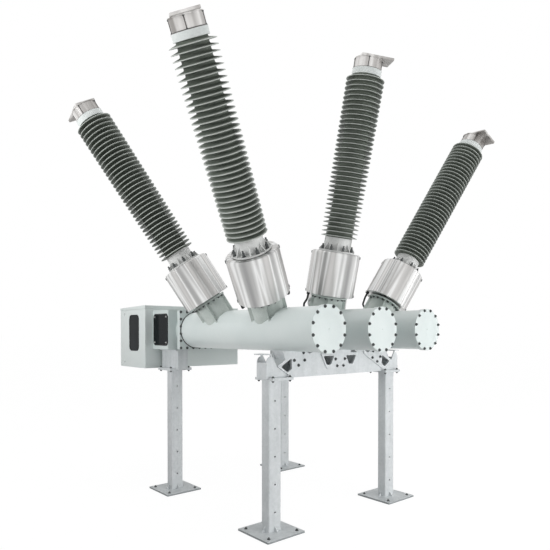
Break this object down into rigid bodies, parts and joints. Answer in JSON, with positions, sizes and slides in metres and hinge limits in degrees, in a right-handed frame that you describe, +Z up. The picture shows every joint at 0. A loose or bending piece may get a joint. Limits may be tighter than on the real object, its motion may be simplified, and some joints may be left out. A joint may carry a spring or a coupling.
{
  "type": "gas insulated dead tank circuit breaker",
  "caption": "High-voltage dead tank breaker: horizontal gas tanks on a legged steel frame, splayed shed-type bushings over transformer cans, operating cabinet behind.",
  "frame": {"origin": "ground level, at the middle of the four base plates", "axes": "+X across the phases, -Y towards the tank covers, +Y towards the operating cabinet, +Z up"},
  "size_m": [4.4932, 3.5849, 4.7337],
  "materials": {
    "brushed_can": "bright brushed sheet",
    "cabinet_paint": "satin pale grey-green paint",
    "cap_metal": "satin machined",
    "cast_collar": "as-cast, light grey",
    "conduit_black": "matte black flexible conduit",
    "dark_window": "dark tinted pane",
    "galvanised_steel": "hot-dip galvanised, dull spangle",
    "shed_rubber": "matte dark green-grey silicone",
    "tank_paint": "satin pale grey-green paint"
  },
  "bodies": {
    "root": {"beam_seats": "galvanised_steel", "blank_cover": "tank_paint", "bushing_collars": "cast_collar", "bushing_necks": "tank_paint", "cabinet_body": "cabinet_paint", "cabinet_doors": "cabinet_paint", "cabinet_latches": "cap_metal", "cabinet_roof": "cabinet_paint", "cabinet_window": "dark_window", "conduit_glands": "conduit_black", "conduit_tubes": "conduit_black", "ct_housing_left_front": "brushed_can", "ct_housing_left_rear": "brushed_can", "ct_housing_middle_front": "brushed_can", "ct_housing_right_front": "brushed_can", "ct_housing_right_rear": "brushed_can", "door_handles": "cap_metal", "front_beam": "galvanised_steel", "insulator_left_front": "shed_rubber", "insulator_left_rear": "shed_rubber", "insulator_middle_front": "shed_rubber", "insulator_right_front": "shed_rubber", "insulator_right_rear": "shed_rubber", "leg_front_left": "galvanised_steel", "leg_front_right": "galvanised_steel", "leg_rear_left": "galvanised_steel", "leg_rear_right": "galvanised_steel", "linkage_housing": "cabinet_paint", "linkage_windows": "dark_window", "rear_brackets": "galvanised_steel", "tank_adapters": "tank_paint", "tank_barrel_left": "tank_paint", "tank_barrel_middle": "tank_paint", "tank_barrel_right": "tank_paint", "tank_cover_left": "tank_paint", "tank_cover_middle": "tank_paint", "tank_cover_right": "tank_paint", "tank_feet": "tank_paint", "terminal_cap_left_front": "cap_metal", "terminal_cap_left_rear": "cap_metal", "terminal_cap_middle_front": "cap_metal", "terminal_cap_right_front": "cap_metal", "terminal_cap_right_rear": "cap_metal"}
  },
  "joints": []
}
